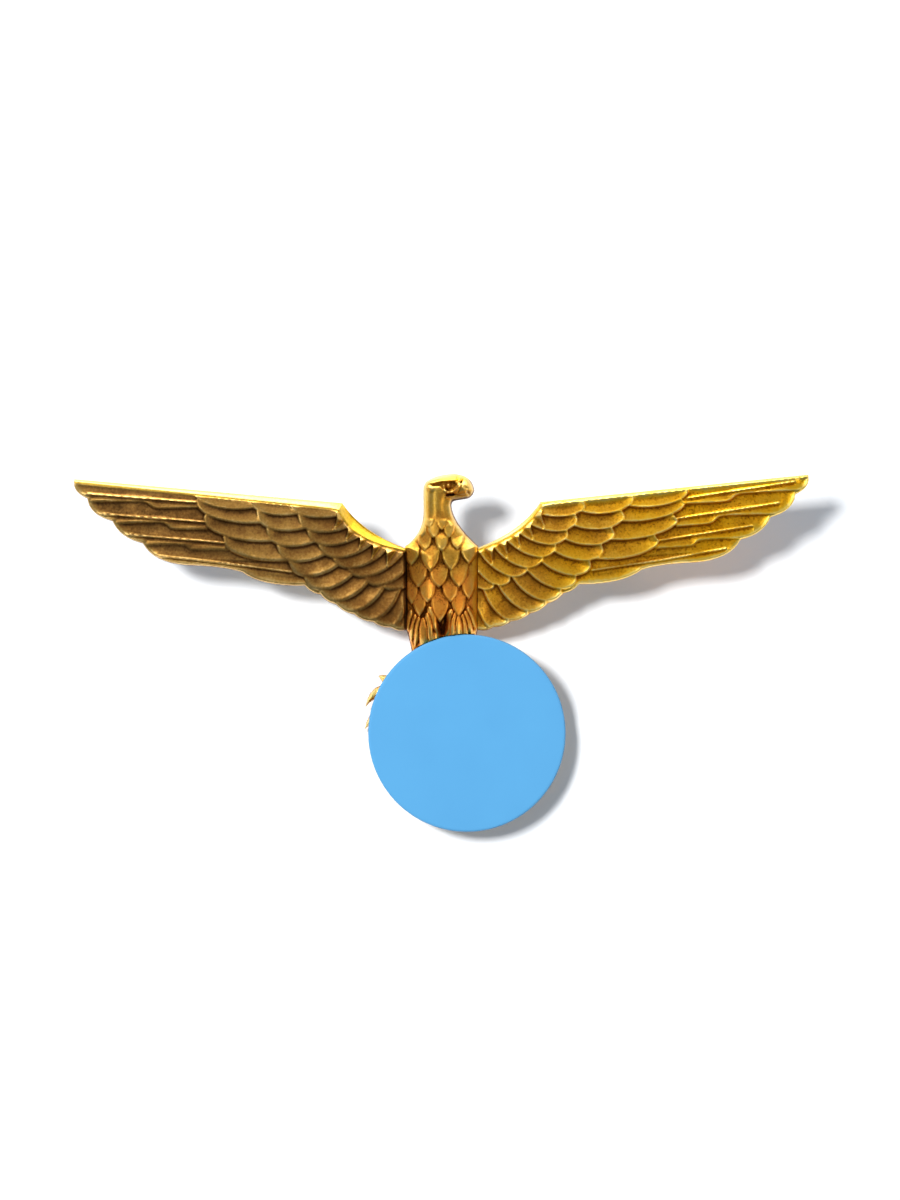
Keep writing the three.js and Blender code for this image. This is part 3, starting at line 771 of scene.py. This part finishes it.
def lay_scale(relief, base, x, z, width, drop):
    """A breast feather: a pointed free edge below, and a vane that sinks under the row above."""
    t = np.linspace(-1, 1, 27)
    edge = np.column_stack([x + width / 2 * t, z - drop * (1 - np.abs(t)) ** 0.48])
    cover = 1.35 if z < 5 else 0.55
    upper = [(x + width / 2, z + cover), (x - width / 2, z + cover)]

    def height_at(part):
        off = from_line(relief.x[part], relief.z[part], edge)
        rise = 1 - np.clip((relief.z[part] - z + drop) / (drop + cover), 0, 1)
        sunk = smoothstep(relief.z[part], z + 0.1 * cover, z + 0.9 * cover)
        return base[part] + (0.2 * quarter_round(off, 0.2) + 0.3 * rise - 0.16) * (1 - sunk)

    relief.lay(np.vstack([edge, upper]), height_at)


def trunk(relief, legs):
    """The height of the body without its feathers: a domed breast, a rounder neck, and flatter legs."""
    neck = smoothstep(relief.z, 3.0, 4.8)
    slope = 2.5 + (1.25 - 2.5) * neck
    crest = 3.1 + (2.55 - 3.1) * neck
    crest = crest + (1.5 - crest) * legs
    edge = 1.35 + (0.9 - 1.35) * np.maximum(neck, legs)
    flat = smoothstep(relief.depth, 0, slope) ** 0.62
    roundness = np.maximum(neck, 0.55 * smoothstep(relief.x, 0, 2))
    dome = flat + (quarter_round(relief.depth, slope) - flat) * roundness
    return edge + (crest - edge) * dome


def lay_plumage(relief, base, legs):
    """The hollow between the thighs, their long feathers, and the breast feathers over those."""
    between_thighs = np.exp(-(((relief.x - 0.1) / 0.4) ** 2)) * smoothstep(-relief.z, 2.8, 3.8)
    relief.height -= 0.9 * between_thighs * (1 - legs)
    ground = relief.height.copy()
    for centre_x, centre_z, width, length, lean in THIGHS:
        polygon = leaf((centre_x, centre_z), width, length, lean)
        lay_pillow(relief, polygon, ground, height=0.32, rounding=0.26)
    for scale in reversed(SCALES):
        lay_scale(relief, base, *scale)


def carve_head(relief):
    hollow = inside_polygon(relief.x, relief.z, SOCKET).astype(float)
    relief.height -= 0.23 * blurred(hollow, 0.06 / relief.step)
    for line, height, width in HEAD_LINES.values():
        relief.ridge(line, height, width)


def finish_body(relief):
    """Darker on the face and thighs, painted light on the right flank, and painted highlights on the crown,
    along the left shoulder and on the right flank.
    """
    x, z = relief.x, relief.z
    face = smoothstep(z, 7.1, 7.5) * smoothstep(z, 8.95, 8.6) * smoothstep(x, -1.3, 0.2)
    relief.patina_and_shading = 0.12 * face + 0.3 * smoothstep(-z, 2.6, 3.6)
    # Painted light: the right flank is made lighter.
    relief.patina_and_shading -= 0.45 * smoothstep(x, 2.2, 3.0) * smoothstep(z, 3.0, 2.6) * smoothstep(-z, 4.4, 3.6)
    # Painted highlight along the upper left outline of the neck and shoulder, on the side the light comes
    # from.
    lit_side = smoothstep(0.3 * z - x, 1.6, 2.6) * smoothstep(z, 2.6, 3.2)
    relief.polish_and_highlight = 0.8 * np.exp(-((relief.depth / 0.22) ** 2)) * lit_side
    # Painted highlight on the crown, the top of the head where the light from above falls.
    relief.polish_and_highlight += 0.6 * smoothstep(z, 8.75, 9.1)
    # Painted highlight on the right flank.
    relief.polish_and_highlight += 0.22 * smoothstep(x, 2.6, 2.9) * smoothstep(z, 2.2, 1.4) * smoothstep(-z, 4.6, 3.4)


def body(material):
    flank = WING_ROOT - JOINT_GAP
    relief = Relief("body", BODY_STEP, joints=[-flank, flank])
    legs = smoothstep(-relief.z, 5.2, 7.4)
    base = trunk(relief, legs)
    relief.height = base.copy()
    lay_plumage(relief, base, legs)
    carve_head(relief)
    relief.smooth(0.032)
    relief.ridge([(-flank, JOINT_TOP), (-flank, box_mm("wing_left")[0][2])], -0.25, 0.1)
    relief.round_edge(0.55, 0.25)
    finish_body(relief)
    over_roundel = np.hypot(relief.x - ROUNDEL_X, relief.z - ROUNDEL_Z) < ROUNDEL_RADIUS + 0.04
    under = REAR - ROUNDEL_REAR - 0.07
    relief.height = np.where(over_roundel, np.minimum(relief.height, under), relief.height)
    return casting("body_struck", relief, hollow_back(relief), material)


def talon(node, material):
    """A foot: rounded over and, unlike the other castings, with a flat back."""
    relief = Relief(node, BODY_STEP)
    relief.height = 0.4 + 1.05 * quarter_round(relief.depth, 0.55)
    return casting(node + "_struck", relief, np.zeros(relief.x.shape), material)


# ---- Turned pieces ---------------------------------------------------------

def arc(centre, radius, start, end, count=6):
    """Profile points on an arc, angles in degrees from the radial direction towards +Y."""
    angles = np.radians(np.linspace(start, end, count))
    return [(centre[0] + radius * math.cos(a), centre[1] + radius * math.sin(a)) for a in angles]


def turned(name, node, profile, segments, material, radius_at=None):
    """A piece turned about the axis along Y through its node's centre, from (radius, y) pairs.

    A profile that starts and ends on the axis is a solid, and any other is closed into a ring.
    """
    x0, _, z0 = centre_mm(node)
    theta = np.linspace(0, 2 * math.pi, segments, endpoint=False)
    solid = profile[0][0] == 0
    rings = profile[1:-1] if solid else profile
    vertices = []
    for r, y in rings:
        radius = np.full(segments, r) if radius_at is None else radius_at(r, y, theta)
        x, z = x0 + radius * np.sin(theta), z0 + radius * np.cos(theta)
        vertices.append(np.column_stack([x, np.full(segments, y), z]))
    vertices = np.vstack(vertices)
    k = np.arange(segments)
    n = (k + 1) % segments
    pairs = list(zip(range(len(rings) - 1), range(1, len(rings))))
    if not solid:
        pairs.append((len(rings) - 1, 0))
    faces = [[a * segments + i, a * segments + j, b * segments + j, b * segments + i]
             for a, b in pairs for i, j in zip(k, n)]
    if solid:
        first, last = len(vertices), len(vertices) + 1
        vertices = np.vstack([vertices, [x0, profile[0][1], z0], [x0, profile[-1][1], z0]])
        end = (len(rings) - 1) * segments
        faces += [[first, j, i] for i, j in zip(k, n)]
        faces += [[last, end + i, end + j] for i, j in zip(k, n)]
    mesh = new_mesh(vertices, faces)
    build = bmesh.new()
    build.from_mesh(mesh)
    bmesh.ops.recalc_face_normals(build, faces=build.faces)
    build.to_mesh(mesh)
    build.free()
    return new_object(name, mesh, material)


def rivet(node, material):
    """A rivet: a shank into the casting and a low domed head behind it."""
    low, high = box_mm(node)
    rim = (high[0] - low[0]) / 2
    shank = 0.45
    seat = REAR + SEAT_GAP
    dome = [(rim, seat), (rim, seat + 0.08)] + arc((rim - 0.42, seat + 0.05), 0.42, 8, 80)
    profile = [(0, low[1]), (shank, low[1]), (shank, seat)] + dome + [(0, high[1])]
    return turned(node + "_head", node, profile, 32, material)


def post(node, material):
    """A threaded stud on a soldered base: a right-handed thread, a fillet of solder, a lead-in chamfer."""
    low, high = box_mm(node)
    pitch, stud, depth = 0.45, 1.25, 0.2
    base_radius = (high[0] - low[0]) / 2
    fillet = [(base_radius, low[1]), (base_radius, low[1] + 0.28), (base_radius - 0.3, -0.02)]
    fillet += [(stud + 0.45, 0.0), (stud + 0.02, 0.01)]
    tip = high[1] - 0.3
    rows = np.arange(0.05, tip, pitch / 8)
    profile = [(0, low[1])] + fillet + [(stud, y) for y in rows]
    profile += [(stud, tip), (stud - 0.3, high[1]), (0, high[1])]

    def thread(radius, y, theta):
        if y < 0.02 or y > tip:
            return np.full(len(theta), radius)
        phase = (y / pitch - theta / (2 * math.pi)) % 1
        groove = 1 - np.abs(2 * phase - 1)
        fade = min(1, (y - 0.02) / 0.3)
        return radius - depth * fade * smoothstep(groove, 0.15, 0.95)

    return turned(node + "_threaded", node, profile, 48, material, thread)


def washer(node, material):
    """A flat washer with broken edges."""
    low, high = box_mm(node)
    outer, bore, edge = (high[0] - low[0]) / 2, 1.45, 0.08
    front, rear = low[1], high[1]
    profile = [(bore, front + edge), (bore + edge, front), (outer - edge, front), (outer, front + edge)]
    profile += [(outer, rear - 0.14), (outer - 0.14, rear), (bore + edge, rear), (bore, rear - edge)]
    return turned(node + "_ring", node, profile, 96, material)


def nut(node, material):
    """A round nut: a flange with straight knurling between two chamfers, and a plain hub."""
    low, high = box_mm(node)
    outer, bore, hub = (high[0] - low[0]) / 2, 1.36, 1.95
    front, step, rear = low[1], low[1] + 1.4, high[1]
    ridges = 40
    profile = [(bore, front + 0.15), (bore + 0.15, front), (outer - 0.2, front), (outer, front + 0.18)]
    profile += [(outer, step - 0.18), (outer - 0.2, step), (hub + 0.12, step), (hub, step + 0.1)]
    profile += [(hub, rear - 0.12), (hub - 0.12, rear), (bore + 0.15, rear), (bore, rear - 0.15)]

    def knurl(radius, y, theta):
        wave = np.abs(np.sin(theta * ridges / 2))
        return np.full(len(theta), radius) - (0.16 * (1 - wave) if radius == outer else 0)

    return turned(node + "_knurled", node, profile, ridges * 8, material, knurl)


def bevelled(node, width, material):
    """A copy of a sheet-metal node with its triangles joined into faces and its edges broken."""
    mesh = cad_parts[node].data.copy()
    build = bmesh.new()
    build.from_mesh(mesh)
    bmesh.ops.remove_doubles(build, verts=build.verts, dist=1e-6)
    limit = math.radians(1)
    bmesh.ops.dissolve_limit(build, angle_limit=limit, verts=build.verts, edges=build.edges)
    sharp = [e for e in build.edges if len(e.link_faces) == 2 and e.calc_face_angle() > math.radians(60)]
    bmesh.ops.bevel(build, geom=sharp, offset=width * MM, segments=3, profile=0.5, affect="EDGES")
    build.to_mesh(mesh)
    build.free()
    return new_object(node + "_sheet", mesh, material)


def roundel_enamel(material):
    """The enamel fill: flat, with a softly rounded edge."""
    front, rear = ENAMEL_LOW[1], ENAMEL_HIGH[1]
    edge = 0.22
    rim = ROUNDEL_RADIUS
    round_off = [(rim - edge * (1 - math.cos(a)), front + 0.05 + edge * (1 - math.sin(a)))
                 for a in np.linspace(0, math.pi / 2, 8)]
    crown = [(rim * t, front + 0.05 * t**4) for t in (0.95, 0.8, 0.6, 0.4, 0.2)]
    profile = [(0, rear), (rim - 0.08, rear), (rim, rear - 0.08)] + round_off + crown + [(0, front)]
    return turned("roundel_enamel_fill", "roundel_enamel", profile, 192, material)


def roundel_plate(material):
    """The brass plate behind the enamel, with a rolled rear edge and a shallow turned ring."""
    low, high = box_mm("roundel_plate")
    rim, front, rear = (high[0] - low[0]) / 2, low[1], high[1]
    profile = [(0, rear), (rim - 2.0, rear), (rim - 1.85, rear - 0.07), (rim - 1.7, rear), (rim - 0.25, rear)]
    profile += arc((rim - 0.2, rear - 0.2), 0.2, 78, 0) + [(rim, front), (0, front)]
    return turned("roundel_plate_disc", "roundel_plate", profile, 192, material)


# ---- The badge -------------------------------------------------------------

# Shades of the castings, linear, from the darkest tarnished recess to the brightest rubbed edge. BROWN and
# UMBER are a shaded copy and HONEY and GOLDEN a lit copy of one brass: painted shade on the left wing,
# painted light on the right wing and the talons. COPPER and AMBER are the body's, redder below and yellower
# above.
GOLDEN = [
    (0.28, 0.108, 0.003), (0.66, 0.285, 0.005), (1.0, 0.50, 0.013), (1.0, 0.61, 0.035), (1.0, 0.74, 0.19),
]
HONEY = [
    (0.26, 0.106, 0.009), (0.43, 0.180, 0.014), (0.62, 0.270, 0.022), (1.0, 0.55, 0.06), (1.0, 0.78, 0.26),
]
BROWN = [
    (0.08, 0.037, 0.01), (0.19, 0.09, 0.024), (0.37, 0.18, 0.044), (0.58, 0.315, 0.073), (0.85, 0.56, 0.19),
]
UMBER = [
    (0.12, 0.051, 0.013), (0.18, 0.078, 0.018), (0.23, 0.099, 0.02), (0.38, 0.195, 0.047), (0.68, 0.44, 0.14),
]
COPPER = [
    (0.08, 0.025, 0.003), (0.33, 0.104, 0.009), (0.84, 0.280, 0.036), (0.95, 0.40, 0.05), (0.97, 0.58, 0.14),
]
AMBER = [
    (0.07, 0.029, 0.003), (0.27, 0.104, 0.011), (0.56, 0.260, 0.029), (0.76, 0.43, 0.058), (0.92, 0.60, 0.15),
]

TURNED = [(0.30, 0.19, 0.075), (0.56, 0.39, 0.17), (0.72, 0.54, 0.27)]
ROLLED = [(0.26, 0.16, 0.06), (0.50, 0.34, 0.14), (0.66, 0.48, 0.23)]


def build_badge():
    # The right wing and the talons get the lit copy of the brass, the left wing the shaded copy: painted
    # light and shade.
    lit_brass_right = struck_brass("antique_brass_lit_golden", HONEY, GOLDEN, "X", 5, 22, 0.27)
    shaded_brass_left = struck_brass("antique_brass_shaded_brown", BROWN, UMBER, "X", -16, -5, 0.12)
    brass_body = struck_brass("antique_brass_coppery", COPPER, AMBER, "Z", -1, 2.5, 0.2)
    turned_brass = fitting_brass("fitting_brass_turned", TURNED, (1, 12, 1))
    rolled_brass = fitting_brass("fitting_brass_rolled", ROLLED, (0.12, 1, 1))

    finish_piece(body(brass_body), "body")
    edges = {
        "right": (lit_brass_right, (0.2, 0.26, 0.2, 0.1), (0.75, 0.4)),
        "left": (shaded_brass_left, (0.3, 0.85, 0.62, 0.34), (0.3, 0.7)),
    }
    for side, (brass, bevel, polish_and_highlight) in edges.items():
        finish_piece(wing("wing_" + side, brass, bevel, polish_and_highlight), "wing_" + side)
        finish_piece(talon("talon_" + side, lit_brass_right), "talon_" + side)
        finish_piece(post("post_" + side, turned_brass), "post_" + side)
        loose_washer = washer("washer_" + side, turned_brass)
        finish_piece(loose_washer, "washer_" + side, body="loose_washer_" + side)
        screw_nut = nut("nut_" + side, turned_brass)
        finish_piece(screw_nut, "nut_" + side, body="screw_nut_" + side)
    for node in sorted(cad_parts):
        if node.startswith("rivet_"):
            finish_piece(rivet(node, turned_brass), node)
    finish_piece(roundel_plate(rolled_brass), "roundel_plate")
    finish_piece(roundel_enamel(enamel()), "roundel_enamel")
    finish_piece(bevelled("back_strap", 0.12, rolled_brass), "back_strap")
    finish_piece(bevelled("back_tablet", 0.08, rolled_brass), "back_tablet")


# ---- Setting, light and camera ---------------------------------------------

def backdrop():
    """A pale sheet that bends back behind the badge from close to the roundel, and shows from its front only.

    It glows faintly, which keeps the shadows on it grey.
    """
    material, tree, shader = new_material("pale_backdrop")
    grain = colour_ramp(tree, noise(tree, 60, 2), [(0.3, (0.80, 0.81, 0.82)), (0.7, (0.81, 0.82, 0.83))])
    tree.links.new(grain, shader.inputs["Base Color"])
    shader.inputs["Roughness"].default_value = 0.9
    shader.inputs["Specular IOR Level"].default_value = 0.1
    shader.inputs["Emission Color"].default_value = (0.45, 0.72, 1.0, 1.0)
    shader.inputs["Emission Strength"].default_value = 0.1
    facing = add_node(tree, "ShaderNodeNewGeometry").outputs["Backfacing"]
    clear = add_node(tree, "ShaderNodeBsdfTransparent").outputs["BSDF"]
    mix = add_node(tree, "ShaderNodeMixShader", {0: facing, 1: shader.outputs["BSDF"], 2: clear})
    tree.links.new(mix.outputs["Shader"], tree.nodes["Material Output"].inputs["Surface"])

    reach = 900
    bends = [(-reach, -40), (-23, 0.9), (-13, 0.1), (-4, 4.3), (3, 7.6), (12, 10.5), (reach, 277)]
    corners = [(across, y, z) for z, y in bends for across in (-reach, reach)]
    faces = [[k, k + 1, k + 3, k + 2] for k in range(0, len(corners) - 2, 2)]
    plane = new_object("backdrop", new_mesh(corners, faces), material)
    plane.visible_shadow = False


def area_light(name, place, target, size, power, colour=(1, 1, 1), diffuse=True, glossy=True):
    """A soft box, in millimetres, that looks at the target."""
    data = bpy.data.lights.new(name, "AREA")
    data.shape = "RECTANGLE"
    data.size, data.size_y = size[0] * MM, size[1] * MM
    data.energy = power
    data.color = colour
    light = bpy.data.objects.new(name, data)
    light.location = Vector(place) * MM
    aim = (Vector(target) - Vector(place)).to_track_quat("-Z", "Z")
    light.rotation_euler = aim.to_euler()
    light.visible_diffuse = diffuse
    light.visible_glossy = glossy
    bpy.context.scene.collection.objects.link(light)


def light_scene():
    """A studio that is brightest overhead, a key light from the upper left, and soft boxes for the metal."""
    world = bpy.data.worlds.new("studio")
    bpy.context.scene.world = world
    world.use_nodes = True
    tree = world.node_tree
    direction = add_node(tree, "ShaderNodeTexCoord").outputs["Generated"]
    height = add_node(tree, "ShaderNodeSeparateXYZ", {"Vector": direction}).outputs["Z"]
    level = map_range(tree, height, -1, 1, 0, 1)
    stops = [
        (0.0, (0.38, 0.45, 0.56)), (0.45, (0.55, 0.63, 0.75)),
        (0.75, (1.1, 1.1, 1.1)), (1.0, (1.6, 1.6, 1.6)),
    ]
    tree.links.new(colour_ramp(tree, level, stops), tree.nodes["Background"].inputs["Color"])
    tree.nodes["Background"].inputs["Strength"].default_value = 0.38

    middle = (0, 0, -4)
    area_light("key", (-230, -638, 140), middle, (112, 112), 5.7, glossy=False)
    area_light("top", (0, 5, 260), middle, (430, 150), 1.1, diffuse=False)
    area_light("front_left", (-140, -260, 90), middle, (120, 120), 0.16, diffuse=False)
    area_light("warm_side", (190, -190, -30), middle, (90, 140), 0.10, (1.0, 0.85, 0.6), diffuse=False)
    area_light("rear", (60, 320, 120), middle, (200, 200), 0.6)


def camera():
    """A long lens from the front, placed so that the badge is framed as in the photo."""
    data = bpy.data.cameras.new("camera")
    data.lens = 100
    data.sensor_width = 36
    data.sensor_fit = "AUTO"
    data.clip_start, data.clip_end = 0.01, 10
    view = bpy.data.objects.new("camera", data)
    view.location = Vector((0.717, -300, -1.79)) * MM
    view.rotation_euler = (math.pi / 2, math.radians(0.35), 0)
    bpy.context.scene.collection.objects.link(view)
    bpy.context.scene.camera = view


build_badge()
backdrop()
light_scene()
camera()
bpy.context.scene.view_settings.view_transform = "Standard"
